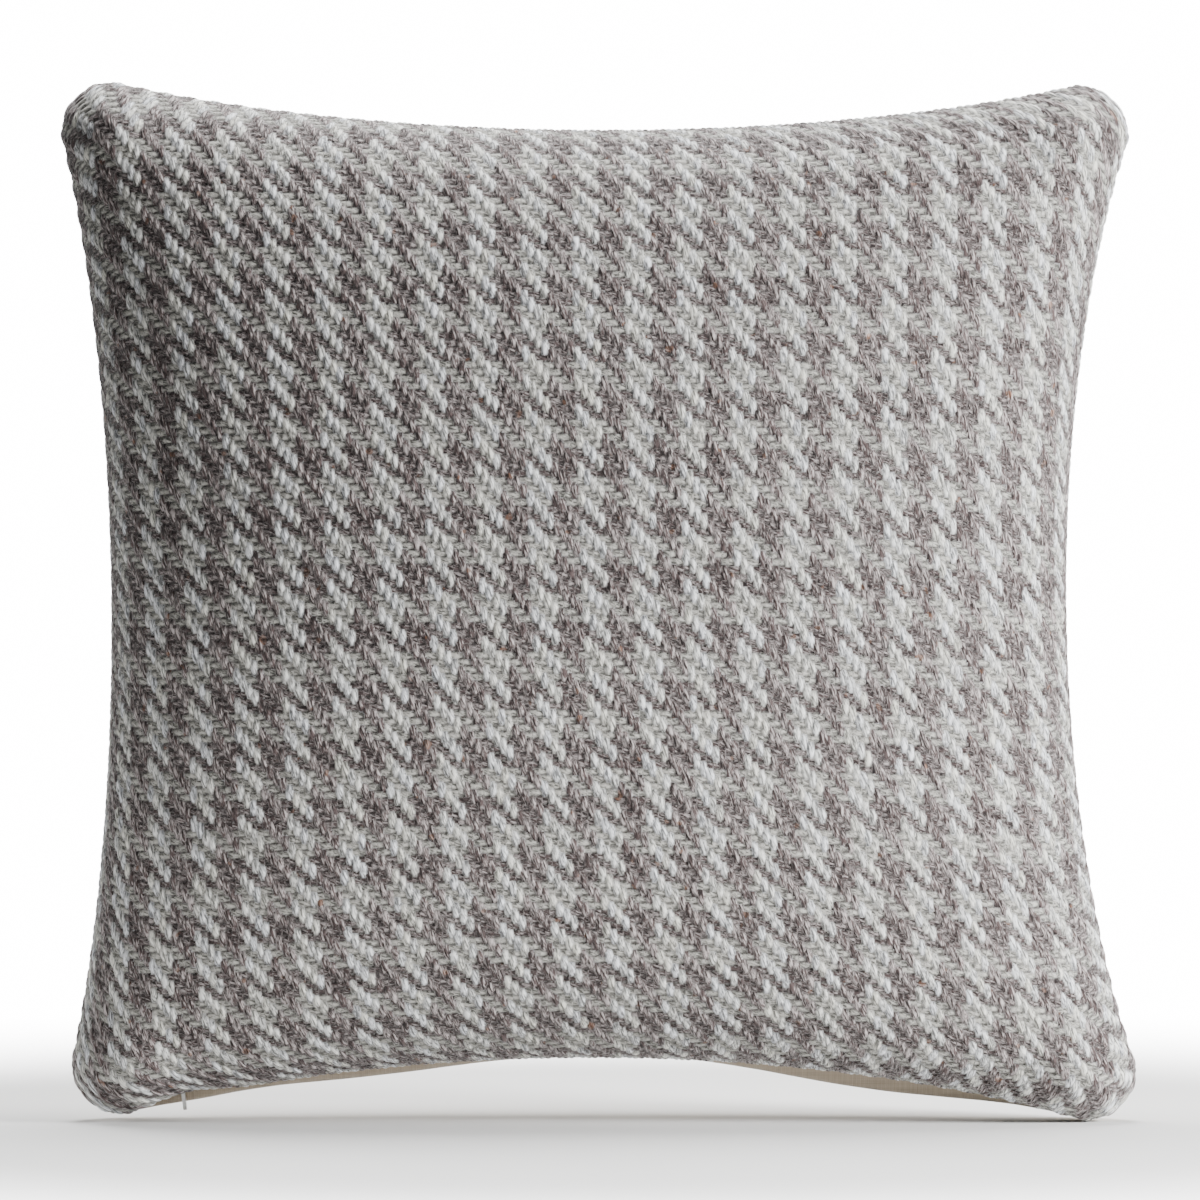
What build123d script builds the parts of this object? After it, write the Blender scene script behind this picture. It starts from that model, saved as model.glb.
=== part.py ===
from build123d import *
import os
from math import asin, cos, degrees, radians, sin, sqrt

# A square scatter cushion that stands on its two lower ears. Millimetres.
# +X is to the right and -Y is the woven face, so the seam plane is Y = 0.
# +Z is up. The origin is on the floor, midway between the ears, in the seam plane.

# Cover, measured over the stuffed cushion
WIDTH = 437.0  # across the ears
HEIGHT = 422.0  # from the flats that it rests on to the top of the upper ears
CROWN = 74.0  # from the seam plane to the middle of either face
EAR_RADIUS = 12.0
EAR_SQUASH = 2.0  # how far its own weight flattens the lower ears
SIDE_BOW = 26.0  # how far the middle of each edge pulls in between its ears
TOP_BOW = 24.0
BOTTOM_BOW = 28.0
FRONT_CLOTH = 2.4  # thickness of the heavy woven cloth
BACK_CLOTH = 0.8  # thickness of the plain cloth
ALLOWANCE = 12.0  # width of the seam allowances that are turned in
THREAD = 0.5
SEAM_STITCH = 5.5  # from the cushion's edge to its closing seam

# How full the cushion is: each face is built of contours that shrink with depth
FACE_LEVELS = (0.0, 0.13, 0.27, 0.44, 0.61, 0.76, 0.88, 0.96)
MIDDLE_FULLNESS = 2.6  # a higher power keeps the faces full further out
EAR_FULLNESS = 2.0
EAR_TAPER = 0.65
EAR_GROWTH = 90.0  # how fast the contours' corners round off with depth
EAR_SHARE = 0.5  # the most of a contour's half height that its corner takes
ROUNDEST = 0.87  # keeps the contours near the middle of a face from bulging past a circle

# Zip, which runs along the bottom edge on an arc of its own. Depths are inwards from that arc
ZIP_RADIUS = 864.0
ZIP_LIFT = 0.5  # the arc's height over the middle of the bottom edge
ZIP_LEFT, ZIP_RIGHT = -173.0, 173.0  # ends of the zip's coils along X
GROOVE_END = 185.0
GROOVE_HALF = 3.8
GROOVE_WALL = 1.2
TAPE_WIDTH = 13.0
TAPE_THICK = 0.6
TAPE_DEPTH = 11.9
COIL_IN, COIL_OUT = 0.7, 2.5  # from the zip's middle line
COIL_THICK = 2.2
STOP_LENGTH = 2.6
STOP_OUT = 2.9
TACK_LENGTH = 2.5
TACK_REACH = 8.0  # from the coils' ends to the far side of a tack
TACK_THICK = 1.0
ZIP_STITCH_OUT = 6.0

# Slider, in the depths of the groove
RUNNING = 0.3  # clearance all round the coils and tapes
SLIDER_LENGTH = 10.0
SLIDER_HALF = 3.3
PLATE = 1.0
RIM = 0.4
POST_HALF = 0.4
POST_LENGTH = 3.0
INNER_PLATE_HALF = 4.0
CAP_LENGTH = 8.0
CAP_HALF = 1.2
CAP_BAR = 1.4
CAP_FOOT = 1.3
CAP_RISE = 2.2  # the gap under the cap's bar
SPRING_THICK = 0.3
SPRING_HALF = 0.7

# Pull
PULL_LENGTH = 12.5  # from its pin to its tip
PULL_TILT = 7.0  # degrees from straight down, as its stiff eye leaves it
PULL_HALF = 2.6
PULL_THICK = 1.4
PULL_PIN_RADIUS = 0.55
PIN_CLEAR = 0.35  # between the pin and the cap's bar
PULL_ARM = 1.0
PULL_WINDOW = 4.8

# Inner pad
PAD_GAP = 27.0  # from the cover's edge to the pad's edge, which the allowances and the slider share
PAD_CLEAR = 0.6  # between the cloth and the pad's faces
CASING = 0.5
FILLING_CLEAR = 0.5
PAD_SEAM = 1.0  # how far the overlocked edge stands out
PAD_SEAM_GAP = 0.2
CLOSING_LENGTH = 120.0
LABEL_HEIGHT = 40.0
LABEL_WIDTH = 12.0
LABEL_THICK = 0.4
LABEL_GAP = 1.3  # from the back cloth's seam allowance
LABEL_DROP = 40.0  # below the middle of the side seam

# Cuts
BLOCK = 100.0  # a block that cuts something away is this thick
OUTSIDE = 12.0  # how far the groove's cutters start outside the edge
DEEP = 20.0  # how far they reach inside it
LIP = 0.4  # the groove's walls start this far inside the cushion's edge
LIP_CLEAR = 1.5  # between the seam allowance's cut edge and the cloth

centre_z = (HEIGHT - EAR_SQUASH) / 2
half_width = WIDTH / 2
half_height = (HEIGHT + EAR_SQUASH) / 2

# The middle of the bottom edge is an arc about a point far below, and so is the zip
lip_z = BOTTOM_BOW - EAR_SQUASH
ear_reach = half_width - EAR_RADIUS
lip_radius = (ear_reach**2 + BOTTOM_BOW**2) / (2 * BOTTOM_BOW) - EAR_RADIUS
arc_z = lip_z + ZIP_LIFT - ZIP_RADIUS


def contour(half_w, half_h, bows, ear, y):
    """A closed outline of four edges that bow in (or out, where a bow is negative) and four ears."""
    bottom, right, top, left = bows
    sides = (
        (Vector(0, 0, -1), Vector(1, 0, 0), half_h, half_w - ear, bottom),
        (Vector(1, 0, 0), Vector(0, 0, 1), half_w, half_h - ear, right),
        (Vector(0, 0, 1), Vector(-1, 0, 0), half_h, half_w - ear, top),
        (Vector(-1, 0, 0), Vector(0, 0, -1), half_w, half_h - ear, left),
    )
    middle = Vector(0, y, centre_z)
    points = []
    for normal, along, reach, run, bow in sides:
        # The edge's arc is tangent to both ears, and link is the signed distance between centres
        link = (run**2 + bow**2) / (2 * bow)
        arc_centre = normal * (reach - bow - ear + link)
        ears = [normal * (reach - ear) + along * s * run for s in (-1, 1)]
        touch = [e + (arc_centre - e) * (ear / link) for e in ears]
        points.append((touch[0], normal * (reach - bow), touch[1], ears[1]))
    edges = []
    for i, (start, peak, end, ear_centre) in enumerate(points):
        edges.append(ThreePointArc(middle + start, middle + peak, middle + end))
        bisector = (sides[i][0] + sides[(i + 1) % 4][0]).normalized()
        next_start = points[(i + 1) % 4][0]
        tip = ear_centre + bisector * ear
        edges.append(ThreePointArc(middle + end, middle + tip, middle + next_start))
    return Wire(edges)


def face_contour(level, inset, crown, side, size):
    """The outline at one level of a face that is size times the cover's, moved in by inset."""
    middle = sqrt(1 - level**MIDDLE_FULLNESS)
    ears = (1 - level**EAR_FULLNESS) ** EAR_TAPER
    mid_w, mid_h = (half_width - SIDE_BOW) * middle, (half_height - BOTTOM_BOW) * middle
    half_w = max(half_width * ears, ROUNDEST * mid_w)
    half_h = max(half_height * ears, ROUNDEST * mid_h)
    bow_w, bow_h = half_w - mid_w, half_h - mid_h
    bows = (bow_h, bow_w, bow_h - (BOTTOM_BOW - TOP_BOW) * middle, bow_w)
    ear = min(EAR_RADIUS + EAR_GROWTH * level**1.2, EAR_SHARE * half_h)
    depth = side * crown * level / FACE_LEVELS[-1]
    bows = [bow * size for bow in bows]
    ear = max(ear * size - inset, EAR_RADIUS / 3)
    return contour(half_w * size - inset, half_h * size - inset, bows, ear, depth)


def half_cushion(inset, crown, side, size=1.0):
    """One face of the cushion as a full half lens, flat under its ears. side is -1 for the front."""
    levels = [face_contour(level, inset, crown, side, size) for level in FACE_LEVELS]
    lens = Solid.make_loft(levels)
    return lens - Pos(0, 0, inset - BLOCK / 2) * Box(2 * WIDTH, 4 * CROWN, BLOCK)


def seam_ring(inset_out, inset_in, y0, y1, size=1.0):
    """A flat band between two insets from a seam that is size times the cover's."""
    bows = [bow * size for bow in (BOTTOM_BOW, SIDE_BOW, TOP_BOW, SIDE_BOW)]

    def outline(inset):
        ear = max(EAR_RADIUS * size - inset, EAR_RADIUS / 3)
        return contour(half_width * size - inset, half_height * size - inset, bows, ear, y0)

    band = Face(outline(inset_out)) - Face(outline(inset_in))
    return extrude(band, amount=abs(y1 - y0), dir=(0, 1, 0))


def on_arc(depth, angle, y=0.0, radius=ZIP_RADIUS, centre=arc_z):
    """A point at a depth inside an arc of the bottom edge. Angles are from +Z towards +X."""
    turn = radians(angle)
    return Vector((radius + depth) * sin(turn), y, centre + (radius + depth) * cos(turn))


def angle_at(x):
    return degrees(asin(x / ZIP_RADIUS))


def sector(depth0, depth1, angle0, angle1, y0, y1, radius=ZIP_RADIUS, centre=arc_z):
    """A curved bar that is concentric with an arc of the bottom edge, from y0 to y1."""
    angles = (angle0, (angle0 + angle1) / 2, angle1)
    low = [on_arc(depth0, a, y0, radius, centre) for a in angles]
    high = [on_arc(depth1, a, y0, radius, centre) for a in reversed(angles)]
    outline = Wire(
        [
            ThreePointArc(*low),
            Line(low[2], high[0]),
            ThreePointArc(*high),
            Line(high[2], low[0]),
        ]
    )
    return extrude(Face(outline), amount=y1 - y0, dir=(0, 1, 0))


def lip_band(depth0, depth1, y0, y1):
    """A curved bar that is concentric with the cushion's own bottom edge."""
    half = degrees(asin(ear_reach / lip_radius))
    return sector(depth0, depth1, -half, half, y0, y1, lip_radius, lip_z - lip_radius)


def mirrored(part):
    return part.mirror(Plane.XZ)


coil_depth = TAPE_DEPTH - COIL_THICK
groove_a, groove_b = angle_at(-GROOVE_END), angle_at(GROOVE_END)
zip_a, zip_b = angle_at(ZIP_LEFT), angle_at(ZIP_RIGHT)
per_mm = degrees(1 / ZIP_RADIUS)


def panel(cloth, side):
    """One cloth of the cover: its stuffed face, its turned-in allowance and its side of the zip's groove."""
    shell = half_cushion(0, CROWN, side) - half_cushion(cloth, CROWN - cloth, side)
    y_in, y_out = sorted((0.0, side * cloth))
    shell += seam_ring(cloth / 2, ALLOWANCE, y_in, y_out)
    shell -= sector(-OUTSIDE, DEEP, groove_a, groove_b, -GROOVE_HALF, GROOVE_HALF)
    middle = Pos(0, 0, lip_z)
    run, reach = 2 * (GROOVE_END + GROOVE_WALL), GROOVE_HALF + GROOVE_WALL
    allowance = lip_band(cloth + LIP_CLEAR, DEEP, -cloth - 1, cloth + 1)
    shell -= allowance & (middle * Box(run, BLOCK, BLOCK))
    # The cloth turns in at each lip and at both ends of the groove, as deep as the tapes
    walls = lip_band(LIP, 1.5 * DEEP, *sorted((0.0, side * reach))) & (middle * Box(run, BLOCK, BLOCK))
    walls -= middle * Box(2 * GROOVE_END, 2 * GROOVE_HALF, BLOCK)
    walls -= sector(TAPE_DEPTH, 3 * DEEP, groove_a - 1, groove_b + 1, -reach - 1, reach + 1)
    return shell + walls - Pos(0, 0, -BLOCK / 2) * Box(2 * WIDTH, 4 * CROWN, BLOCK)


def zip_tape(side):
    y0, y1 = sorted((side * (COIL_IN + 0.1), side * TAPE_WIDTH))
    return sector(TAPE_DEPTH, TAPE_DEPTH + TAPE_THICK, groove_a, groove_b, y0, y1)


def zip_coil(side):
    y0, y1 = sorted((side * COIL_IN, side * COIL_OUT))
    return sector(coil_depth, TAPE_DEPTH, zip_a, zip_b, y0, y1)


def zip_stitch(side):
    """The thread that holds one tape to its cloth, on the tape's inner face."""
    y0, y1 = sorted((side * ZIP_STITCH_OUT, side * (ZIP_STITCH_OUT + THREAD)))
    top = TAPE_DEPTH + TAPE_THICK
    return sector(top, top + THREAD, groove_a, groove_b, y0, y1)


def zip_top_stops():
    """One metal stop on the end of each coil."""
    a0 = zip_a - STOP_LENGTH * per_mm
    stop = sector(coil_depth - RUNNING, TAPE_DEPTH, a0, zip_a, COIL_IN, STOP_OUT)
    return Compound([stop, mirrored(stop)])


def zip_bottom_stop():
    """One stop across both coils at the open end."""
    a1 = zip_b + STOP_LENGTH * per_mm
    return sector(coil_depth - RUNNING, TAPE_DEPTH, zip_b, a1, -STOP_OUT, STOP_OUT)


def zip_bar_tacks():
    """Dense stitches across the groove beyond each end of the zip."""
    tacks = []
    for a0 in (zip_a - TACK_REACH * per_mm, zip_b + (TACK_REACH - TACK_LENGTH) * per_mm):
        a1 = a0 + TACK_LENGTH * per_mm
        tacks.append(sector(TAPE_DEPTH - TACK_THICK, TAPE_DEPTH, a0, a1, -GROOVE_HALF, GROOVE_HALF))
    return Compound(tacks)


# The slider stands just clear of the top stops when the zip is closed
slider_half = SLIDER_LENGTH / 2 * per_mm
slider_angle = zip_a + slider_half + RUNNING * per_mm
outer_plate = coil_depth - RUNNING - PLATE
inner_plate = TAPE_DEPTH + TAPE_THICK + RUNNING
cap_half = CAP_LENGTH / 2 * per_mm
cap_bar = outer_plate - CAP_RISE - CAP_BAR
pin_depth = outer_plate - CAP_RISE + PULL_PIN_RADIUS + PIN_CLEAR


def slider_body():
    """Two plates joined by a post that parts the coils, with rims that press the coils together."""
    a0, a1 = slider_angle - slider_half, slider_angle + slider_half
    body = sector(outer_plate, outer_plate + PLATE, a0, a1, -SLIDER_HALF, SLIDER_HALF)
    rim = sector(outer_plate, TAPE_DEPTH - RUNNING, a0, a1, SLIDER_HALF - RIM, SLIDER_HALF)
    body += rim + mirrored(rim)
    post = a0 + POST_LENGTH * per_mm
    body += sector(outer_plate, inner_plate + PLATE, a0, post, -POST_HALF, POST_HALF)
    top = inner_plate + PLATE
    body += sector(inner_plate, top, a0, a1, -INNER_PLATE_HALF, INNER_PLATE_HALF)
    return body


def slider_cap():
    """The arched cap on the slider's outer plate, which the pull's pin runs under."""
    a0, a1 = slider_angle - cap_half, slider_angle + cap_half
    foot = CAP_FOOT * per_mm
    cap = sector(cap_bar, cap_bar + CAP_BAR, a0, a1, -CAP_HALF, CAP_HALF)
    cap += sector(cap_bar, outer_plate, a0, a0 + foot, -CAP_HALF, CAP_HALF)
    cap += sector(cap_bar, outer_plate, a1 - foot, a1, -CAP_HALF, CAP_HALF)
    return cap


def slider_lock_spring():
    """The leaf spring under the cap, whose tooth locks the coils when the pull lies down."""
    reach = cap_half - (CAP_FOOT + 0.1) * per_mm
    a0, a1 = slider_angle - reach, slider_angle + reach
    return sector(outer_plate - SPRING_THICK, outer_plate, a0, a1, -SPRING_HALF, SPRING_HALF)


def zip_pull():
    """A flat tab that hangs from its pin: the pin, two arms either side of the cap, and the tab."""
    thick, wide = PULL_THICK, 2 * PULL_HALF
    top = (Align.CENTER, Align.CENTER, Align.MAX)
    tab = Box(thick, wide, PULL_LENGTH, align=top)
    tab = fillet(tab.edges().filter_by(Axis.X).group_by(Axis.Z)[0], PULL_HALF * 0.8)
    tab -= Box(2 * thick, 2 * (PULL_HALF - PULL_ARM), PULL_WINDOW, align=top)
    tab += Rot(90, 0, 0) * Cylinder(thick / 2, wide) - Box(2 * thick, 2 * (PULL_HALF - PULL_ARM), thick)
    tab += Rot(90, 0, 0) * Cylinder(PULL_PIN_RADIUS, wide)
    return Pos(on_arc(pin_depth, slider_angle)) * Rot(0, -PULL_TILT, 0) * tab


pad_size = 1 - PAD_GAP / half_width
pad_crown_front = CROWN - FRONT_CLOTH - PAD_CLEAR
pad_crown_back = CROWN - BACK_CLOTH - PAD_CLEAR


def pad_casing(crown, side):
    inner = half_cushion(CASING, crown - CASING, side, pad_size)
    return half_cushion(0, crown, side, pad_size) - inner


def pad_filling():
    """The loose hollow fibre, as one soft mass that fills the casing."""
    less = CASING + FILLING_CLEAR
    front = half_cushion(less, pad_crown_front - less, -1, pad_size)
    return front + half_cushion(less, pad_crown_back - less, 1, pad_size)


def pad_seam_thread():
    """The overlocked edge that joins the pad's two casings."""
    return seam_ring(-PAD_SEAM - PAD_SEAM_GAP, -PAD_SEAM_GAP, -PAD_SEAM / 2, PAD_SEAM / 2, pad_size)


def pad_closing_stitch():
    """The straight stitching over the opening that the pad was filled through, at its top edge."""
    edge = PAD_SEAM + PAD_SEAM_GAP
    ring = seam_ring(-edge - THREAD, -edge, -THREAD / 2, THREAD / 2, pad_size)
    return ring & (Pos(0, 0, HEIGHT) * Box(CLOSING_LENGTH, BLOCK, HEIGHT))


def open_at_zip(ring):
    """A ring of the closing seam, cut away where the zip takes its place."""
    a0, a1 = groove_a - 2 * per_mm, groove_b + 2 * per_mm
    return ring - sector(-OUTSIDE, ALLOWANCE + OUTSIDE, a0, a1, -OUTSIDE, OUTSIDE)


def care_label():
    """A blank folded ribbon that is caught in the left side seam, inside the cover."""
    left = -half_width + SIDE_BOW + BACK_CLOTH + 3
    y = BACK_CLOTH + LABEL_GAP
    place = Pos(left + LABEL_WIDTH / 2, y + LABEL_THICK / 2, centre_z - LABEL_DROP)
    return place * Box(LABEL_WIDTH, LABEL_THICK, LABEL_HEIGHT)


stitch_in = SEAM_STITCH + THREAD
needle = seam_ring(SEAM_STITCH, stitch_in, -FRONT_CLOTH - THREAD, -FRONT_CLOTH)
bobbin = seam_ring(SEAM_STITCH, stitch_in, BACK_CLOTH, BACK_CLOTH + THREAD)
overlock = seam_ring(ALLOWANCE, ALLOWANCE + 1, -FRONT_CLOTH, BACK_CLOTH)

parts = {
    "front_panel": panel(FRONT_CLOTH, -1),
    "back_panel": panel(BACK_CLOTH, 1),
    "seam_needle_thread": open_at_zip(needle),
    "seam_bobbin_thread": open_at_zip(bobbin),
    "overlock_thread": open_at_zip(overlock),
    "care_label": care_label(),
    "zip_tape_front": zip_tape(-1),
    "zip_tape_back": zip_tape(1),
    "zip_coil_front": zip_coil(-1),
    "zip_coil_back": zip_coil(1),
    "zip_stitch_front": zip_stitch(-1),
    "zip_stitch_back": zip_stitch(1),
    "zip_top_stops": zip_top_stops(),
    "zip_bottom_stop": zip_bottom_stop(),
    "zip_bar_tacks": zip_bar_tacks(),
    "slider_body": slider_body(),
    "slider_cap": slider_cap(),
    "slider_lock_spring": slider_lock_spring(),
    "zip_pull": zip_pull(),
    "pad_casing_front": pad_casing(pad_crown_front, -1),
    "pad_casing_back": pad_casing(pad_crown_back, 1),
    "pad_seam_thread": pad_seam_thread(),
    "pad_closing_stitch": pad_closing_stitch(),
    "pad_filling": pad_filling(),
}

os.makedirs("parts", exist_ok=True)
for name, part in parts.items():
    export_step(part, f"parts/{name}.step")

travel = zip_b - RUNNING * per_mm - slider_half - slider_angle
pin = on_arc(pin_depth, slider_angle)
print(f"zip arc centre z {arc_z:.4f}, slider travel {travel:.4f} degrees")
print(f"pull pin at x {pin.X:.4f}, z {pin.Z:.4f}")
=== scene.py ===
"""Looks for a square scatter cushion: a houndstooth front, a plain linen back, and a zip along the bottom."""

import math
from types import SimpleNamespace

import bpy
import numpy as np
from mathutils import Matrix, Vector


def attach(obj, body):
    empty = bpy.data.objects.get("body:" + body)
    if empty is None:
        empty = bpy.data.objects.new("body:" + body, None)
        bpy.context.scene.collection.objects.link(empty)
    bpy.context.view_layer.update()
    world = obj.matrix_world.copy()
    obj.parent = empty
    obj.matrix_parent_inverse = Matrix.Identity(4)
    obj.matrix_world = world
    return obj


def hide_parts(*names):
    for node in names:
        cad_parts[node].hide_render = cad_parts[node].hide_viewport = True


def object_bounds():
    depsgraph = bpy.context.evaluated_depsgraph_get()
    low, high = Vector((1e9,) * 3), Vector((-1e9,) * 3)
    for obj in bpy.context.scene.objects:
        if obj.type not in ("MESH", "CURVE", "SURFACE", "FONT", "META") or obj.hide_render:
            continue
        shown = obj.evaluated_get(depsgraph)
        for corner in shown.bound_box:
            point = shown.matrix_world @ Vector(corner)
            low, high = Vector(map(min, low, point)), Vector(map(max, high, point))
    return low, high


bl_info = {
    "name": "Houndstooth scatter cushion",
    "version": (1, 0, 0),
    "blender": (4, 5, 0),
    "location": "View3D > Sidebar > Cushion",
    "description": "Builds a houndstooth scatter cushion around its packed frame",
    "category": "Add Mesh",
}

MM = 0.001
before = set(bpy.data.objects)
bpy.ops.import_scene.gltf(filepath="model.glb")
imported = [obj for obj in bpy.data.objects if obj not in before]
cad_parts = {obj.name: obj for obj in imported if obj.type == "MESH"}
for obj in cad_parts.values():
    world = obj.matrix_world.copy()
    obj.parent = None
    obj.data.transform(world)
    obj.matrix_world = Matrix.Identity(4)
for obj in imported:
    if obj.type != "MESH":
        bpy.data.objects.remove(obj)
CAD_BOX = [list(corner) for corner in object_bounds()]
TOP = CAD_BOX[1][2] / MM
HALF = CAD_BOX[1][0] / MM
CROWN = CAD_BOX[1][1] / MM

# Surfaces are worked out in millimetres, and scaled by MM when they become meshes.
# Half the face's width and height along the cloth, which turn shares of it into distances
ACROSS_HALF = 210
UP_HALF = 205
# The zip's half length, the length over which the seam closes past its ends, and the height
# over which the cloth comes back together above it
ZIP_HALF = 186
ZIP_END = 8
ZIP_HEIGHT = 45
# Half the gap that the zip holds open in the front cloth and in the back cloth
FRONT_OPENING = 5.2
BACK_OPENING = 4.6
SEAM_GAP = 0.5
# Where the zip's pull hangs at rest
PULL_X = -166
# How far the seam allowances reach into the cover
ALLOWANCE = 8.0
FRONT_THICKNESS = 1.6
BACK_THICKNESS = 0.8
# A cloth's inner grid has one cell for every eight of its outer grid
COARSE = 8
# Threads of one colour side by side in the houndstooth, and crossings in one turn of the twill
STRIPE = 4
TWILL_TURN = 4


# ---------------------------------------------------------------- helpers


def linear(text):
    """An sRGB hex colour as linear RGBA."""
    values = [int(text[i : i + 2], 16) / 255 for i in (0, 2, 4)]
    return tuple(v / 12.92 if v <= 0.04045 else ((v + 0.055) / 1.055) ** 2.4 for v in values) + (1.0,)


def node(tree, kind, inputs=(), **settings):
    """Adds a node, sets its properties, and fills its inputs with values or links."""
    made = tree.nodes.new(kind)
    for key, value in settings.items():
        setattr(made, key, value)
    for key, value in dict(inputs).items():
        if isinstance(value, bpy.types.NodeSocket):
            tree.links.new(value, made.inputs[key])
        else:
            made.inputs[key].default_value = value
    return made


def new_material(name):
    """A material with its output and one Principled shader."""
    made = bpy.data.materials.new(name)
    made.use_nodes = True
    tree = made.node_tree
    tree.nodes.clear()
    surface = node(tree, "ShaderNodeBsdfPrincipled")
    node(tree, "ShaderNodeOutputMaterial", {"Surface": surface.outputs["BSDF"]})
    return made, tree, surface


def finish_piece(name, vertices, faces, body, material, smooth=True):
    """A mesh object at the origin that rides on a body and takes its finish from a slot."""
    mesh = bpy.data.meshes.new(name)
    mesh.from_pydata(vertices, [], faces)
    mesh.polygons.foreach_set("use_smooth", np.full(len(mesh.polygons), smooth))
    mesh.materials.append(material)
    mesh.update()
    made = bpy.data.objects.new(name, mesh)
    bpy.context.scene.collection.objects.link(made)
    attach(made, body)
    return made


def millimetres(group):
    """A settings group's lengths as plain numbers, in millimetres."""
    lengths = [key for key in group.__annotations__ if group.bl_rna.properties[key].unit == "LENGTH"]
    return SimpleNamespace(**{key: getattr(group, key) / MM for key in lengths})


# ---------------------------------------------------------------- settings


class CoverShape(bpy.types.PropertyGroup):
    """The stuffed cover's outline and fullness"""

    ear_radius: bpy.props.FloatProperty(
        name="Ear radius", description="Rounding of the four sewn corners", default=20 * MM, unit="LENGTH"
    )
    left_bow: bpy.props.FloatProperty(
        name="Left bow",
        description="How far the left edge pulls in at its middle",
        default=19.5 * MM,
        unit="LENGTH",
    )
    right_bow: bpy.props.FloatProperty(
        name="Right bow",
        description="How far the right edge pulls in at its middle",
        default=28.6 * MM,
        unit="LENGTH",
    )
    top_bow: bpy.props.FloatProperty(
        name="Top bow",
        description="How far the top edge pulls in at its middle",
        default=20 * MM,
        unit="LENGTH",
    )
    bottom_bow: bpy.props.FloatProperty(
        name="Bottom bow",
        description="How far the zipped edge pulls in at its middle",
        default=26 * MM,
        unit="LENGTH",
    )
    crown: bpy.props.FloatProperty(
        name="Crown",
        description="Depth of each face at its middle",
        default=(CROWN + 2.5) * MM,
        unit="LENGTH",
    )
    seam_roll: bpy.props.FloatProperty(
        name="Seam roll",
        description="Radius at which the front cloth turns into the seam",
        default=2 * MM,
        unit="LENGTH",
    )


class WeaveShape(bpy.types.PropertyGroup):
    """The heavy yarn of the woven front"""

    end_spacing: bpy.props.FloatProperty(
        name="End spacing", description="Distance between warp threads", default=2.57 * MM, unit="LENGTH"
    )
    pick_spacing: bpy.props.FloatProperty(
        name="Pick spacing", description="Distance between weft threads", default=2.85 * MM, unit="LENGTH"
    )
    warp_wave: bpy.props.FloatProperty(
        name="Warp wave", description="How far warp threads rise and sink", default=0.6 * MM, unit="LENGTH"
    )
    weft_wave: bpy.props.FloatProperty(
        name="Weft wave", description="How far weft threads rise and sink", default=0.34 * MM, unit="LENGTH"
    )
    light_yarn: bpy.props.FloatVectorProperty(
        name="Light yarn", description="Undyed wool white", default=linear("e4e6ea"), subtype="COLOR", size=4
    )
    cream_yarn: bpy.props.FloatVectorProperty(
        name="Cream yarn",
        description="The light yarn's warmer lengths",
        default=linear("dcdad0"),
        subtype="COLOR",
        size=4,
    )
    # Painted shade: the light yarn drawn darker for the weft, which lies lower than the warp floats
    light_weft: bpy.props.FloatVectorProperty(
        name="Light weft",
        description="The light yarn where it crosses over",
        default=linear("cccac2"),
        subtype="COLOR",
        size=4,
    )
    dark_yarn: bpy.props.FloatVectorProperty(
        name="Dark yarn",
        description="Brown-grey strands of the marled yarn",
        default=linear("574a49"),
        subtype="COLOR",
        size=4,
    )
    marl_yarn: bpy.props.FloatVectorProperty(
        name="Marl yarn",
        description="Pale strands of the marled yarn",
        default=linear("b6adab"),
        subtype="COLOR",
        size=4,
    )
    rust_fleck: bpy.props.FloatVectorProperty(
        name="Rust fleck",
        description="Flecks in the marled yarn",
        default=linear("8a5f45"),
        subtype="COLOR",
        size=4,
    )


class BackCloth(bpy.types.PropertyGroup):
    """The plain back cloth"""

    left_lobe: bpy.props.FloatProperty(
        name="Left lobe",
        description="How far the back bulges below the seam, left of the middle",
        default=6.6 * MM,
        unit="LENGTH",
    )
    right_lobe: bpy.props.FloatProperty(
        name="Right lobe",
        description="How far the back bulges below the seam, right of the middle",
        default=9.4 * MM,
        unit="LENGTH",
    )
    lobe_width: bpy.props.FloatProperty(
        name="Lobe width", description="Half width of a lobe", default=48 * MM, unit="LENGTH"
    )
    linen: bpy.props.FloatVectorProperty(
        name="Linen", description="Natural linen", default=linear("b8a995"), subtype="COLOR", size=4
    )


class StudioLight(bpy.types.PropertyGroup):
    """The studio's lights and white surround"""

    key: bpy.props.FloatProperty(
        name="Key", description="Window light from the right", default=44, unit="POWER"
    )
    fill: bpy.props.FloatProperty(
        name="Fill", description="Weak fill from the left front", default=1.2, unit="POWER"
    )
    top: bpy.props.FloatProperty(
        name="Top", description="Soft light from above", default=42, unit="POWER"
    )
    rear: bpy.props.FloatProperty(
        name="Rear", description="Light on the back cloth", default=14, unit="POWER"
    )
    backdrop: bpy.props.FloatProperty(
        name="Backdrop", description="How bright the white surround looks behind the cushion", default=16
    )
    sky: bpy.props.FloatProperty(name="Sky", description="Strength of the white surround", default=0.1)


# ---------------------------------------------------------------- the cushion's surface


def smooth_step(a):
    """Rises from 0 to 1 with level ends: a squared times 3 less twice a, held past both ends."""
    a = np.clip(a, 0, 1)
    return a * a * (3 - 2 * a)


def fullness(a):
    """How deep a face is at a share of the way from its middle to its edge: a bell that ends upright."""
    return (1 - np.clip(np.abs(a), 0, 1) ** 2.2) ** 0.4


def spacing_table():
    """For each depth of section, where evenly laid threads cross it: the bell's arc length, turned round."""
    samples = np.linspace(0, 1, 1201)
    # Samples crowd towards the edge, where the bell is steep
    across = 1 - (1 - samples) ** 2.5
    depths = np.linspace(0, 0.5, 33)
    share = np.linspace(0, 1, 401)
    rows, lengths = [], []
    for depth in depths:
        run = np.hypot(np.diff(across), np.diff(depth * fullness(across)))
        run = np.concatenate([[0], np.cumsum(run)])
        rows.append(np.interp(share, run / run[-1], across))
        lengths.append(run[-1])
    return depths, np.array(rows), np.array(lengths)


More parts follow.
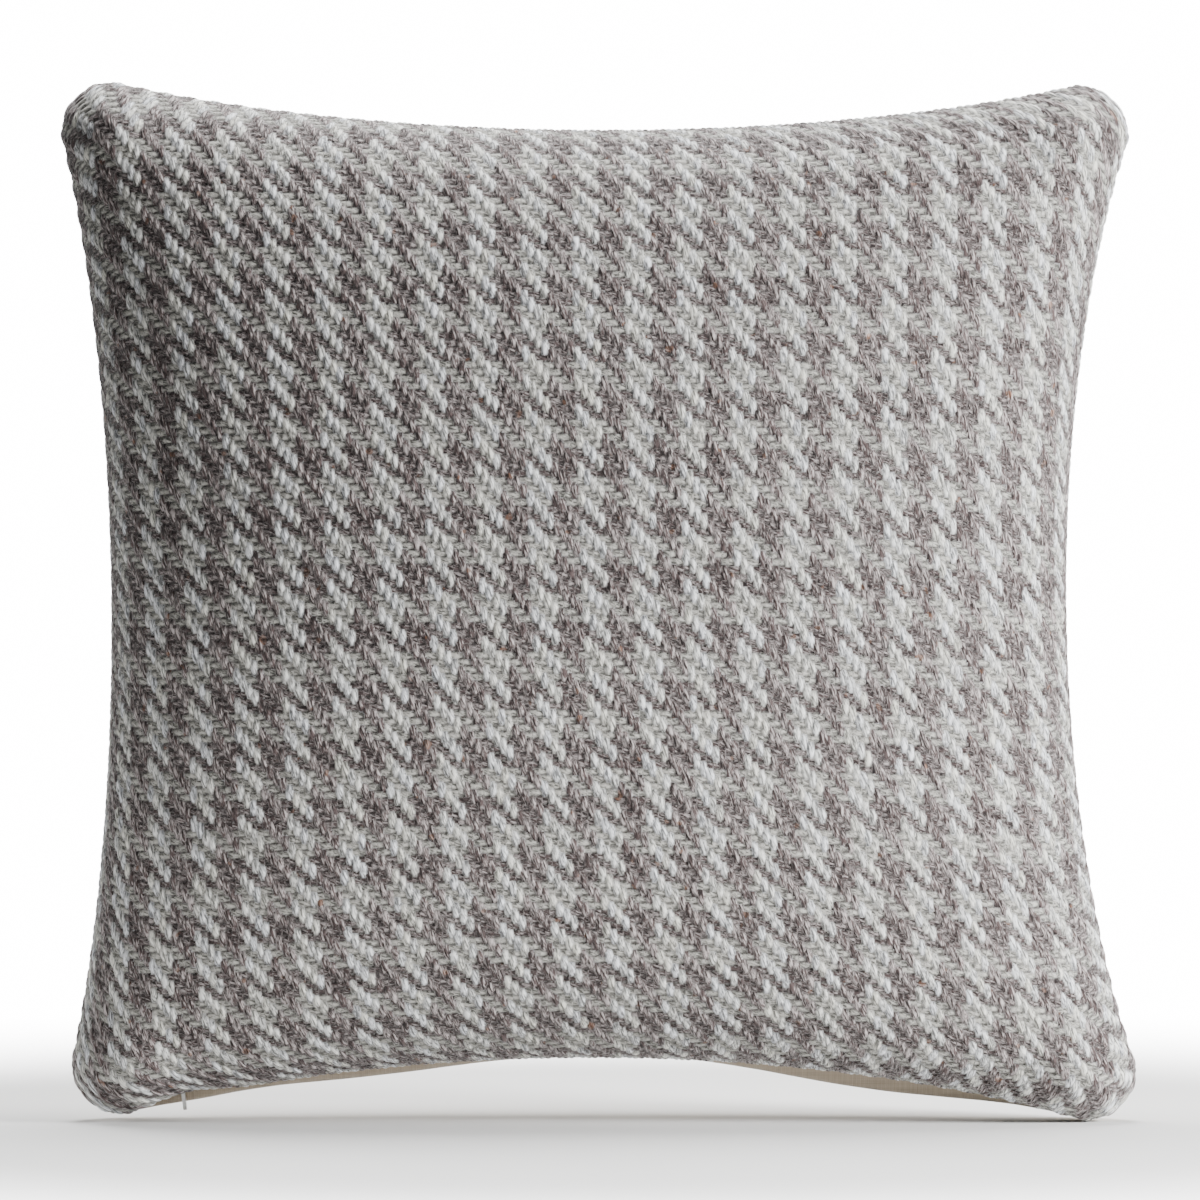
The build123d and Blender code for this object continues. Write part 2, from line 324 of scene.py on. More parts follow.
DEPTHS, SPACINGS, LENGTHS = spacing_table()


def evenly(share, depth):
    """Reads the spacing table between its rows and columns, for shares from -1 to 1."""
    columns = SPACINGS.shape[1] - 1
    r = np.clip(depth / DEPTHS[1], 0, len(DEPTHS) - 1.001)
    c = np.clip(np.abs(share) * columns, 0, columns - 0.001)
    i, j = r.astype(int), c.astype(int)
    r, c = r - i, c - j
    low = SPACINGS[i, j] * (1 - c) + SPACINGS[i, j + 1] * c
    high = SPACINGS[i + 1, j] * (1 - c) + SPACINGS[i + 1, j + 1] * c
    return np.sign(share) * (low * (1 - r) + high * r)


def half_section(crown):
    """The length of half a section of the face, as a share of half the face's width."""
    mean_bow = 24
    return float(np.interp(crown / (HALF - mean_bow), DEPTHS, LENGTHS))


def ears(shape):
    """Centres of the four ears: lower left, lower right, upper left, upper right.

    Each sits its radius in from the frame's side and from its floor or top, and a little further,
    since no two ears are filled alike."""
    r = shape.ear_radius
    left, right, top = -HALF + r, HALF - r, TOP - r
    return (
        np.array([left + 5.5, r + 3.6]),
        np.array([right - 1.0, r + 1.1]),
        np.array([left + 1.2, top - 1.0]),
        np.array([right - 4.2, top - 2.5]),
    )


def edge_line(a, start, end, out, bow, r):
    """An edge between two ears: a straight line, set out from their centres by the ears' radius.

    Between the centres it bows in by the bow times (1 - p squared) to the power 0.85, where p runs from
    -1 to 1, eased where it meets the ears. Past a centre it turns back over a quarter round."""
    ease = 0.05
    along = (end - start) / np.linalg.norm(end - start)
    length = np.linalg.norm(end - start) / 2
    tip = length + r * math.sin(math.pi / 4)
    place = a * tip
    past = np.clip(np.abs(place) - length, 0, r)
    p = np.clip(place / length, -1, 1)
    dip = np.sqrt((1 - p**2) ** 1.7 + ease**2) - ease
    off = r - bow * dip - (r - np.sqrt(r**2 - past**2))
    middle = (start + end) / 2
    return middle + place[..., None] * along + off[..., None] * np.array(out)


def flat_place(s, t, shape):
    """Where a point of the cloth lies in the face's plane: a patch blended between the four edges.

    It is the blend of bottom and top, plus the blend of left and right, less the blend of the corners."""
    ll, lr, ul, ur = ears(shape)
    r = shape.ear_radius
    bottom = edge_line(s, ll, lr, (0, -1), shape.bottom_bow, r)
    top = edge_line(s, ul, ur, (0, 1), shape.top_bow, r)
    left = edge_line(t, ll, ul, (-1, 0), shape.left_bow, r)
    right = edge_line(t, lr, ur, (1, 0), shape.right_bow, r)
    one = np.ones_like(s)
    p, q = ((s + 1) / 2)[..., None], ((t + 1) / 2)[..., None]
    corners = [
        edge_line(one * sign, a, b, out, bow, r)
        for sign, a, b, out, bow in (
            (-1, ll, lr, (0, -1), shape.bottom_bow),
            (1, ll, lr, (0, -1), shape.bottom_bow),
            (-1, ul, ur, (0, 1), shape.top_bow),
            (1, ul, ur, (0, 1), shape.top_bow),
        )
    ]
    blended = (1 - q) * bottom + q * top + (1 - p) * left + p * right
    return (
        blended
        - (1 - p) * (1 - q) * corners[0]
        - p * (1 - q) * corners[1]
        - (1 - p) * q * corners[2]
        - p * q * corners[3]
    )


def zip_zone(x):
    """1 where the zip runs, falling to 0 just past its ends."""
    return 1 - smooth_step((np.abs(x) - ZIP_HALF) / ZIP_END)


def puckers(x, z, across, up):
    """Short folds that start at the seam and die away over its first 30 mm, and leave the ears alone.

    They are three sines along the nearest edge, two of which wander in length."""
    near = np.minimum(across, up)
    along = np.where(across < up, z, x)
    folds = (
        np.sin(along / 5.1 + 0.7 * np.sin(along / 23))
        + 0.7 * np.sin(along / 8.3 + 2.0 + np.sin(along / 31))
        + 0.5 * np.sin(along / 3.4 + 1.3)
    )
    height, reach, start, ear = 0.55, 16, 3, 40
    fade = np.exp(-((near / reach) ** 2)) * (1 - np.exp(-((near / start) ** 2)))
    return height * folds * fade * smooth_step(np.maximum(across, up) / ear)


def swellings(x, z, near):
    """The broad hollows and swellings of a stuffed face: products of long sines, level at the seam."""
    height, ease = 0.7, 60
    first = np.sin(x / 61 + 0.8) * np.sin(z / 47 + 0.3)
    second = np.sin(x / 29 + z / 53) * np.sin(z / 37 + 2.1)
    return height * (first + 0.6 * second + 1.0) * smooth_step(near / ease)


def ear_rounds(x, z, near, shape):
    """Each ear is a small plump round of its own: a bell over its centre, level at the seam."""
    height, wide, ease = 5.0, 17, 5
    away = [((x - ear[0]) ** 2 + (z - ear[1]) ** 2) / wide**2 for ear in ears(shape)]
    return sum(height * np.exp(-a) for a in away) * (1 - np.exp(-((near / ease) ** 2)))


def face_surface(u, v, side, shape, crown, roll, opening, lobes=None):
    """One face of the stuffed cover.

    u and v run from -1 to 1 across and up the cloth. Threads are laid evenly along the section, the plane
    place comes from flat_place, and the depth is the crown times one bell across and one bell up. Next to
    the seam the cloth rolls inwards over a quarter circle. It stands off the seam plane by a small gap,
    and by the zip's half width where the zip runs."""
    s, t = u.copy(), v.copy()
    half = HALF - shape.left_bow
    # Each direction's spacing depends on the other's, and a few rounds settle them
    for _ in range(4):
        t = evenly(v, crown / half * fullness(s))
        s = evenly(u, crown / half * fullness(t))
    place = flat_place(s, t, shape)
    deep = crown * fullness(s) * fullness(t)
    x, z = place[..., 0], place[..., 1]
    across = (1 - np.abs(u)) * ACROSS_HALF
    up = (1 - np.abs(v)) * UP_HALF
    from_bottom = (1 + v) * UP_HALF
    near = np.minimum(across, up)
    gap = SEAM_GAP + (opening - SEAM_GAP) * zip_zone(x) * (1 - smooth_step(from_bottom / ZIP_HEIGHT))
    y = gap + deep * (1 - gap / crown)
    y = y + puckers(x, z, across, up) + swellings(x, z, near) + ear_rounds(x, z, near, shape)
    if lobes is None:
        # The front cloth's edge is drawn up over the zip's pull, by a bell along it that fades upwards
        drawn_up, wide, fade = 4.0, 15, 14
        z = z + drawn_up * np.exp(-(((x - PULL_X) / wide) ** 2)) * np.exp(-from_bottom / fade)
    else:
        # The back's lobes hang over its lowest stretch, as one lopsided half sine
        low = from_bottom / 44
        z = z - lobes(x) * np.where(low < 1, np.sin(np.pi * np.clip(low, 0, 1) ** 0.7), 0)
    turn = np.clip(1 - near / roll, 0, 1)
    inward = roll * (1 - np.sqrt(1 - turn**2))
    to_x, to_z = inward_direction(u, v)
    x, z = x + inward * to_x, z + inward * to_z
    return np.stack([x, side * y, z], -1)


def inward_direction(u, v):
    """A unit direction in the face's plane, from the nearest edge inwards, and diagonally at the ears.

    A high power of u and v leaves only the nearer edge's share."""
    a, b = np.abs(u) ** 40, np.abs(v) ** 40
    size = np.sqrt(a**2 + b**2) + 1e-9
    return -np.sign(u) * a / size, -np.sign(v) * b / size


def normals_of(points, side):
    """Outward unit normals of a grid of points, from its differences both ways."""
    across, up = np.gradient(points, axis=1), np.gradient(points, axis=0)
    out = np.cross(across, up)
    out = out / (np.linalg.norm(out, axis=-1, keepdims=True) + 1e-12)
    return out if side < 0 else -out


def rim(rows, columns):
    """Indices of a grid's border, once round against the clock, with columns to the right and rows up."""
    index = np.arange(rows * columns).reshape(rows, columns)
    return np.concatenate([index[0, :-1], index[:-1, -1], index[-1, :0:-1], index[:0:-1, 0]])


def quads(rows, columns, offset=0, flip=False):
    """A grid's cells as four indices each, against the clock, or with the clock if flipped."""
    index = np.arange(rows * columns).reshape(rows, columns) + offset
    made = np.stack([index[:-1, :-1], index[:-1, 1:], index[1:, 1:], index[1:, :-1]], -1).reshape(-1, 4)
    return made[:, ::-1] if flip else made


def inner_grid(rows, columns, margin):
    """The parameters of a cloth's coarse inner grid, held a margin in from the seam."""
    limit = 1 - margin / ACROSS_HALF
    across, up = (np.linspace(-1, 1, (count - 1) // COARSE + 1) for count in (columns, rows))
    return np.meshgrid(np.clip(across, -limit, limit), np.clip(up, -limit, limit))


def cloth_shell(name, outer, inner, thickness, side, material):
    """A closed sheet of cloth.

    It has its outer grid, a band turned in at the seam, the cut edge set off along Y by the thickness,
    and a coarse inner grid that every eighth thread of the outer grid meets."""
    rows, columns = outer.shape[:2]
    border = rim(rows, columns)
    count = len(border)
    gu, gv = np.meshgrid(np.linspace(-1, 1, columns), np.linspace(-1, 1, rows))
    dx, dz = inward_direction(gu.ravel()[border], gv.ravel()[border])
    step = np.stack([dx, 0 * dx, dz], -1)
    loop = outer.reshape(-1, 3)[border]
    fold, deep = loop + step * 1.2, loop + step * ALLOWANCE
    cut = deep + np.array([0, thickness, 0])
    base = rows * columns
    rings = [border, *[base + k * count + np.arange(count) for k in range(3)]]
    start = base + 3 * count
    points = np.concatenate([outer.reshape(-1, 3), fold, deep, cut, inner.reshape(-1, 3)])
    faces = [quads(rows, columns, flip=side > 0)]
    for a, b in zip(rings[:-1], rings[1:]):
        strip = np.stack([a, b, np.roll(b, -1), np.roll(a, -1)], -1)
        faces.append(strip[:, ::-1] if side > 0 else strip)
    faces.append(quads(*inner.shape[:2], start, flip=side < 0))
    inner_border = start + rim(*inner.shape[:2])
    fine = rings[-1].reshape(-1, COARSE)
    following = np.roll(fine[:, 0], -1)[:, None]
    closing = [fine, following, np.roll(inner_border, -1)[:, None], inner_border[:, None]]
    closing = np.concatenate(closing, 1)
    faces.append(closing if side > 0 else closing[:, ::-1])
    everything = [f for group in faces for f in group.tolist()]
    return finish_piece(name, points * MM, everything, "cushion", material)


def over_the_shell(outer, border, inner):
    """A cloth shell's values: the outer grid's, its border's again on each turned-in ring, the inner grid's."""
    return np.concatenate([outer, *[outer[border]] * 3, inner])


def add_uv(made, coordinates):
    """Gives a piece its own UV map from one coordinate pair for each vertex."""
    layer = made.data.uv_layers.new(name="cloth")
    corners = np.zeros(len(made.data.loops), np.int32)
    made.data.loops.foreach_get("vertex_index", corners)
    layer.data.foreach_set("uv", coordinates[corners].astype(np.float32).ravel())


def add_values(made, name, values):
    """Stores one number for each vertex."""
    layer = made.data.attributes.new(name, "FLOAT", "POINT")
    layer.data.foreach_set("value", values.astype(np.float32))


# ---------------------------------------------------------------- materials


def houndstooth_wool(weave):
    """Wool-blend yarn, spun thick and woven in a houndstooth: matt, fuzzy, and marled where it is dark.

    Colour follows the yarn on top. Strands run steeply along each float, from a noise stretched along the
    cloth's own threads, whose spacing is the unit of its UV map."""
    made, tree, surface = new_material("woven_houndstooth_wool")
    surface.inputs["Roughness"].default_value = 0.92
    surface.inputs["IOR"].default_value = 1.5
    surface.inputs["Specular IOR Level"].default_value = 0.25
    surface.inputs["Sheen Weight"].default_value = 0.25
    surface.inputs["Sheen Roughness"].default_value = 0.5
    uv = node(tree, "ShaderNodeUVMap", uv_map="cloth").outputs["UV"]
    over, dark, tone, relief = (
        node(tree, "ShaderNodeAttribute", attribute_name=name).outputs["Fac"]
        for name in ("over", "dark", "tone", "relief")
    )
    is_warp = node(tree, "ShaderNodeMath", {0: over, 1: 0.0}, operation="GREATER_THAN").outputs[0]
    # Strand coordinates: across and along the thread that shows, leaning as its twist does
    place = node(tree, "ShaderNodeSeparateXYZ", {0: uv})
    turned = node(tree, "ShaderNodeCombineXYZ", {0: place.outputs[1], 1: place.outputs[0]}).outputs[0]
    own = node(tree, "ShaderNodeMix", {0: is_warp, 4: turned, 5: uv}, data_type="VECTOR").outputs[1]
    own = node(tree, "ShaderNodeSeparateXYZ", {0: own})
    lean = {0: own.outputs[1], 1: 0.3, 2: own.outputs[0]}
    across = node(tree, "ShaderNodeMath", lean, operation="MULTIPLY_ADD").outputs[0]
    along = node(tree, "ShaderNodeMath", {0: own.outputs[1], 1: 0.22}, operation="MULTIPLY").outputs[0]
    apart = node(tree, "ShaderNodeMath", {0: tone, 1: 3.0}, operation="MULTIPLY").outputs[0]
    strand_place = node(tree, "ShaderNodeCombineXYZ", {0: across, 1: along, 2: apart}).outputs[0]
    plies = {"Vector": strand_place, "Scale": 3.6, "Detail": 2.0, "Roughness": 0.6}
    marl = node(tree, "ShaderNodeTexNoise", plies).outputs["Fac"]
    moved = {"Vector": strand_place, "Location": (7.3, 1.9, 4.1)}
    moved = node(tree, "ShaderNodeMapping", moved).outputs[0]
    strands = {"Vector": moved, "Scale": 3.0, "Detail": 2.5, "Roughness": 0.7}
    strand = node(tree, "ShaderNodeTexNoise", strands).outputs["Fac"]
    # Light yarn, a little darker and warmer from float to float
    warmth = node(tree, "ShaderNodeMath", {0: tone, 1: 0.5, 2: 0.5}, operation="MULTIPLY_ADD").outputs[0]
    light = {0: warmth, 6: weave.light_yarn, 7: weave.cream_yarn}
    light = node(tree, "ShaderNodeMix", light, data_type="RGBA").outputs[2]
    # The weft is the same light wool as the warp, drawn in a darker, slightly warmer grey copy where it crosses
    # over: the darkening is painted shade, since the weft lies lower than the warp floats
    light = {0: is_warp, 6: weave.light_weft, 7: light}
    light = node(tree, "ShaderNodeMix", light, data_type="RGBA").outputs[2]
    # Marled yarn: dark and pale strands twisted together
    pale = node(tree, "ShaderNodeMath", {0: tone, 1: 0.05, 2: marl}, operation="MULTIPLY_ADD").outputs[0]
    pale = node(tree, "ShaderNodeMapRange", {0: pale, 1: 0.45, 2: 0.57, 3: 0.0, 4: 1.0}).outputs[0]
    marled = {0: pale, 6: weave.dark_yarn, 7: weave.marl_yarn}
    marled = node(tree, "ShaderNodeMix", marled, data_type="RGBA").outputs[2]
    # Rust-coloured flecks, a few in a hand's width
    fleck = node(tree, "ShaderNodeTexNoise", {"Vector": uv, "Scale": 0.55, "Detail": 0.0}).outputs["Fac"]
    fleck = node(tree, "ShaderNodeMapRange", {0: fleck, 1: 0.775, 2: 0.79, 3: 0.0, 4: 0.55}).outputs[0]
    flecked = {0: fleck, 6: marled, 7: weave.rust_fleck}
    marled = node(tree, "ShaderNodeMix", flecked, data_type="RGBA").outputs[2]
    yarn = node(tree, "ShaderNodeMix", {0: dark, 6: light, 7: marled}, data_type="RGBA").outputs[2]
    # Light is lost between strands and down in the gaps between threads
    between = {0: strand, 1: 0.4, 2: 0.57, 3: 0.2, 4: 1.06}
    between = node(tree, "ShaderNodeMapRange", between).outputs[0]
    down = {0: relief, 1: -0.55, 2: 0.6, 3: 0.2, 4: 1.08}
    down = node(tree, "ShaderNodeMapRange", down).outputs[0]
    shade = node(tree, "ShaderNodeMath", {0: between, 1: down}, operation="MULTIPLY").outputs[0]
    shade = node(tree, "ShaderNodeCombineXYZ", {0: shade, 1: shade, 2: shade}).outputs[0]
    shaded = {0: 1.0, 6: yarn, 7: shade}
    colour = node(tree, "ShaderNodeMix", shaded, data_type="RGBA", blend_type="MULTIPLY").outputs[2]
    bump = {"Strength": 0.6, "Distance": 0.35 * MM, "Height": strand}
    bump = node(tree, "ShaderNodeBump", bump).outputs[0]
    tree.links.new(colour, surface.inputs["Base Color"])
    tree.links.new(bump, surface.inputs["Normal"])
    return made


def plain_linen(colour):
    """Natural linen in plain weave: fine flat threads with thicker slubs, matt with a faint dry sheen."""
    made, tree, surface = new_material("plain_woven_linen")
    surface.inputs["Roughness"].default_value = 0.85
    surface.inputs["IOR"].default_value = 1.5
    surface.inputs["Specular IOR Level"].default_value = 0.3
    surface.inputs["Sheen Weight"].default_value = 0.15
    uv = node(tree, "ShaderNodeUVMap", uv_map="cloth").outputs["UV"]

    def threads(scale_u, scale_v, turn):
        """A noise stretched along one set of threads; turn sets it apart from the other set."""
        place = {"Vector": uv, "Scale": (scale_u, scale_v, 1.0)}
        place = node(tree, "ShaderNodeMapping", place).outputs[0]
        noise = {"Vector": place, "Scale": 1.0, "Detail": 1.0, "W": turn}
        return node(tree, "ShaderNodeTexNoise", noise, noise_dimensions="4D").outputs["Fac"]

    # Threads are drawn 0.8 mm apart, coarser than the real 0.5 mm, so that they show
    up = threads(1.25, 0.03, 1.0)
    over = threads(0.03, 1.25, 5.0)
    both = node(tree, "ShaderNodeMath", {0: up, 1: over}, operation="ADD").outputs[0]
    tint = node(tree, "ShaderNodeMapRange", {0: both, 1: 0.7, 2: 1.3, 3: 0.25, 4: 1.0}).outputs[0]
    dark = tuple(c * 0.72 for c in colour[:3]) + (1.0,)
    mixed = node(tree, "ShaderNodeMix", {0: tint, 6: dark, 7: colour}, data_type="RGBA").outputs[2]
    rows = {"Vector": uv, "Scale": 0.4, "Distortion": 0.6, "Detail": 1.0, "Detail Scale": 0.5}
    waves = [
        node(tree, "ShaderNodeTexWave", rows, wave_type="BANDS", bands_direction=way).outputs["Fac"]
        for way in ("X", "Y")
    ]
    weave = node(tree, "ShaderNodeMath", {0: waves[0], 1: waves[1]}, operation="MAXIMUM").outputs[0]
    height = node(tree, "ShaderNodeMath", {0: weave, 1: both}, operation="ADD").outputs[0]
    bump = {"Strength": 0.5, "Distance": 0.15 * MM, "Height": height}
    bump = node(tree, "ShaderNodeBump", bump).outputs[0]
    tree.links.new(mixed, surface.inputs["Base Color"])
    tree.links.new(bump, surface.inputs["Normal"])
    return made


def spun_finish(name, dark, light, scale, stretch, roughness, depth, **shader):
    """A small trim's material: two near colours mixed by a noise, and a bump as fine as its grain.

    scale is the grain's size and depth its relief in millimetres, and stretch runs it along the grain."""
    made, tree, surface = new_material(name)
    surface.inputs["Roughness"].default_value = roughness
    for key, value in shader.items():
        surface.inputs[key].default_value = value
    place = node(tree, "ShaderNodeTexCoord").outputs["Object"]
    place = node(tree, "ShaderNodeMapping", {"Vector": place, "Scale": stretch}).outputs[0]
    grain = {"Vector": place, "Scale": 1 / (scale * MM), "Detail": 2.0}
    grain = node(tree, "ShaderNodeTexNoise", grain).outputs["Fac"]
    mixed = {0: grain, 6: linear(dark), 7: linear(light)}
    mixed = node(tree, "ShaderNodeMix", mixed, data_type="RGBA").outputs[2]
    bump = {"Strength": 0.4, "Distance": depth * MM, "Height": grain}
    bump = node(tree, "ShaderNodeBump", bump).outputs[0]
    tree.links.new(mixed, surface.inputs["Base Color"])
    tree.links.new(bump, surface.inputs["Normal"])
    return made


def sewing_threads():
    """Spun polyester thread and white overlock thread: dull, with fine fuzz that breaks up the light."""
    return (
        spun_finish("spun_polyester_thread", "a59f96", "cdc8bf", 0.4, (1, 1, 1), 0.6, 0.05, IOR=1.55),
        spun_finish("overlock_thread_white", "b9b6b0", "e0ded9", 0.5, (1, 1, 1), 0.6, 0.05, IOR=1.55),
    )


# ---------------------------------------------------------------- the weave


def thread_noise(index, seed):
    """A repeatable number from -1 to 1 for each thread: the fraction of a large sine."""
    return 2 * np.mod(np.sin(index * 12.9898 + seed * 78.233) * 43758.5453, 1.0) - 1


def float_wave(phase):
    """How wide and how high a thread is along its turn: a cosine held above -0.4, and its flattened tanh."""
    wave = np.cos(2 * np.pi * phase / TWILL_TURN)
    return np.clip(wave, -0.4, 1), np.tanh(0.8 * wave) / math.tanh(0.8)


def half_round(off):
    """A thread's section: the height of a unit half circle less its radius."""
    return np.sqrt(np.clip(1 - off**2, 0, 1)) - 1


def twill(ends, picks, yarn):
    """A two and two twill: its relief, how far warp stands over weft, and the top thread's colour and tone.

    A warp thread rises and sinks over four picks, one pick lower for each end to the right. A weft thread
    does the same over four ends, half a turn later. Each is widest in the middle of its float. The relief
    is the highest of the nearest three warp and three weft threads."""
    lowest = np.full(ends.shape, -9.0)
    warp, warp_dark, warp_tone = lowest, 0 * lowest, 0 * lowest
    weft, weft_dark, weft_tone = lowest, 0 * lowest, 0 * lowest
    for step in (-1, 0, 1):
        end = np.floor(ends) + step
        swell, lift = float_wave(picks + end - 1 + 0.12 * thread_noise(end, 1))
        off = (ends - end - 0.5 + 0.05 * np.sin(picks * 1.7 + end * 2.4)) / (0.52 + 0.13 * swell)
        high = yarn.warp_wave * lift + 1.05 * half_round(off) + 0.22
        over = high > warp
        on_float = np.floor((picks + end + 1) / TWILL_TURN)
        warp = np.where(over, high, warp)
        warp_dark = np.where(over, np.mod(end, 2 * STRIPE) >= STRIPE, warp_dark)
        warp_tone = np.where(over, thread_noise(end * 3.1 + on_float * 17.7, 2), warp_tone)
    for step in (-1, 0, 1):
        pick = np.floor(picks) + step
        swell, lift = float_wave(ends + pick - 3)
        off = (picks - pick - 0.5) / (0.46 + 0.05 * swell)
        high = yarn.weft_wave * lift + 0.85 * half_round(off) - 0.04
        over = high > weft
        on_float = np.floor((ends + pick + 1) / TWILL_TURN)
        weft = np.where(over, high, weft)
        weft_dark = np.where(over, np.mod(pick, 2 * STRIPE) >= STRIPE, weft_dark)
        weft_tone = np.where(over, thread_noise(pick * 5.3 + on_float * 11.1, 3), weft_tone)
    is_warp = warp > weft
    return (
        np.where(is_warp, warp, weft),
        warp - weft,
        np.where(is_warp, warp_dark, weft_dark),
        np.where(is_warp, warp_tone, weft_tone),
    )


def tube(path, radius, sides=6):
    """A closed thread: a circle of points carried along a closed path and square to it.

    The circle's first direction is the path's crossed with Y, so it has no twist."""
    along = np.roll(path, -1, 0) - np.roll(path, 1, 0)
    along /= np.linalg.norm(along, axis=1, keepdims=True) + 1e-9
    sideways = np.cross(along, (0.0, 1.0, 0.0))
    sideways /= np.linalg.norm(sideways, axis=1, keepdims=True) + 1e-9
    third = np.cross(along, sideways)
    a = np.linspace(0, 2 * np.pi, sides, endpoint=False)
    ring = sideways[:, None] * np.cos(a)[:, None] + third[:, None] * np.sin(a)[:, None]
    points = (path[:, None] + ring * radius).reshape(-1, 3)
    index = np.arange(len(points)).reshape(len(path), sides)
    nxt = np.roll(index, -1, 0)
    faces = np.stack([index, np.roll(index, -1, 1), np.roll(nxt, -1, 1), nxt], -1).reshape(-1, 4)
    return points, faces[:, ::-1]


# ---------------------------------------------------------------- operators


class CUSHION_OT_front(bpy.types.Operator):
    """Weaves the houndstooth front over the stuffed face"""

    bl_idname = "cushion.front"
    bl_label = "Woven front"

    def execute(self, context):
        weave = context.scene.cushion_weave
        shape, yarn = millimetres(context.scene.cushion_cover), millimetres(weave)
        section = half_section(shape.crown)
        half_across = section * (HALF - (shape.left_bow + shape.right_bow) / 2)
        half_up = section * (TOP / 2 - (shape.top_bow + shape.bottom_bow) / 2)
        ends = 2 * round(half_across / yarn.end_spacing)
        picks = 2 * STRIPE * round(half_up / yarn.pick_spacing / STRIPE)
        # Grid points for each thread, rounded to whole cells of the inner grid
        columns = ends * 4 // COARSE * COARSE + 1
        rows = picks * 5 // COARSE * COARSE + 1
        face = (-1, shape, shape.crown, shape.seam_roll, FRONT_OPENING)
        u, v = np.meshgrid(np.linspace(-1, 1, columns), np.linspace(-1, 1, rows))
        base = face_surface(u, v, *face)
        across, up = (u + 1) / 2 * ends, (v + 1) / 2 * picks
        # Warp threads lean slightly, down to the right
        lean = 0.035 * yarn.pick_spacing / yarn.end_spacing
        across = across + lean * (up - picks / 2)
        relief, over, dark, tone = twill(across, up, yarn)
        outer = base + normals_of(base, -1) * (relief + 0.3)[..., None]
        iu, iv = inner_grid(rows, columns, 2.2)
        lining = face_surface(iu, iv, *face)
        lining = lining - normals_of(lining, -1) * FRONT_THICKNESS
        wool = houndstooth_wool(weave)
        made = cloth_shell("front_cloth", outer, lining, FRONT_THICKNESS, -1, wool)
        border = rim(rows, columns)
        threads = np.stack([across.ravel(), up.ravel()], -1)
        lined = np.stack([((iu + 1) / 2 * ends).ravel(), ((iv + 1) / 2 * picks).ravel()], -1)
        add_uv(made, over_the_shell(threads, border, lined))
        for name, values in (("over", over), ("dark", dark), ("tone", tone), ("relief", relief)):
            add_values(made, name, over_the_shell(values.ravel(), border, np.zeros(iu.size)))
        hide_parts("front_panel")
        return {"FINISHED"}


class CUSHION_OT_back(bpy.types.Operator):
    """Fits the plain linen back, which bulges below the seam in two lobes"""

    bl_idname = "cushion.back"
    bl_label = "Plain back"

    def execute(self, context):
        back = context.scene.cushion_back
        shape, lobe = millimetres(context.scene.cushion_cover), millimetres(back)

        def lobes(x):
            """How far the back hangs below the seam: a bell each side, and a small one by the pull."""
            bells = (
                (lobe.left_lobe, -95.0, lobe.lobe_width),
                (0.35 * lobe.left_lobe, PULL_X, lobe.lobe_width / 3),
                (lobe.right_lobe, 112.0, lobe.lobe_width),
            )
            return sum(high * np.exp(-0.5 * ((x - middle) / wide) ** 2) for high, middle, wide in bells)

        columns, rows = 241, 241
        # The thin back lies a little flatter than the front, and turns tighter
        face = (1, shape, shape.crown - 1, 1.2, BACK_OPENING, lobes)
        u, v = np.meshgrid(np.linspace(-1, 1, columns), np.linspace(-1, 1, rows))
        outer = face_surface(u, v, *face)
        iu, iv = inner_grid(rows, columns, 1.6)
        lining = face_surface(iu, iv, *face)
        lining = lining - normals_of(lining, 1) * BACK_THICKNESS
        made = cloth_shell(
            "back_cloth", outer, lining, BACK_THICKNESS, 1, plain_linen(tuple(back.linen))
        )
        # The linen's threads run straight across and up, in millimetres
        add_uv(made, np.array([vertex.co[:] for vertex in made.data.vertices])[:, (0, 2)] / MM)
        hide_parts("back_panel")
        return {"FINISHED"}


class CUSHION_OT_seams(bpy.types.Operator):
    """Sews the closing seam: needle thread, bobbin thread and overlocking, all round inside the cover"""

    bl_idname = "cushion.seams"
    bl_label = "Seam threads"

    def execute(self, context):
        shape = millimetres(context.scene.cushion_cover)
        count = 3000
        # Once round the face's border: two units of turn for each of the four sides
        turn = np.linspace(0, 8, count, endpoint=False)
        side, share = turn.astype(int) // 2, (turn % 2) - 1
        u = np.choose(side, [share, np.ones(count), -share, -np.ones(count)])
        v = np.choose(side, [-np.ones(count), share, np.ones(count), -share])
        place = flat_place(u, v, shape)
        dx, dz = inward_direction(u, v)
        run = np.concatenate([[0], np.cumsum(np.linalg.norm(np.diff(place, axis=0), axis=1))])
        zip_here = zip_zone(place[:, 0]) * (v < -0.99)
        thread, overlock = sewing_threads()
        # Stitches are 3 mm long, and dip into the cloth between them
        dip = np.abs(np.sin(np.pi * run / 3.0)) * 0.3
        # Overlocking winds round the cut edges every 2.4 mm
        wound = 2 * np.pi * run / 2.4

        def stitches(name, replaced, inset, depth, radius, material):
            """A thread round the seam at an inset from the edge, at a depth along Y, in place of a CAD node."""
            path = np.stack([place[:, 0] + dx * inset, depth, place[:, 1] + dz * inset], -1)
            points, faces = tube(path, radius)
            made = finish_piece(name, points * MM, faces.tolist(), "cushion", material)
            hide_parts(replaced)

        needle, bobbin = -3.0 - dip - 4.4 * zip_here, 2.2 + dip + 4.2 * zip_here
        edge, winding = 10.4 + 0.5 * np.sin(wound), -0.3 + 1.6 * np.sin(wound + 1.2) - 6.3 * zip_here
        stitches("seam_needle_stitches", "seam_needle_thread", 7.0, needle, 0.22, thread)
        stitches("seam_bobbin_stitches", "seam_bobbin_thread", 7.0, bobbin, 0.22, thread)
        stitches("overlock_stitches", "overlock_thread", edge, winding, 0.25, overlock)
        return {"FINISHED"}


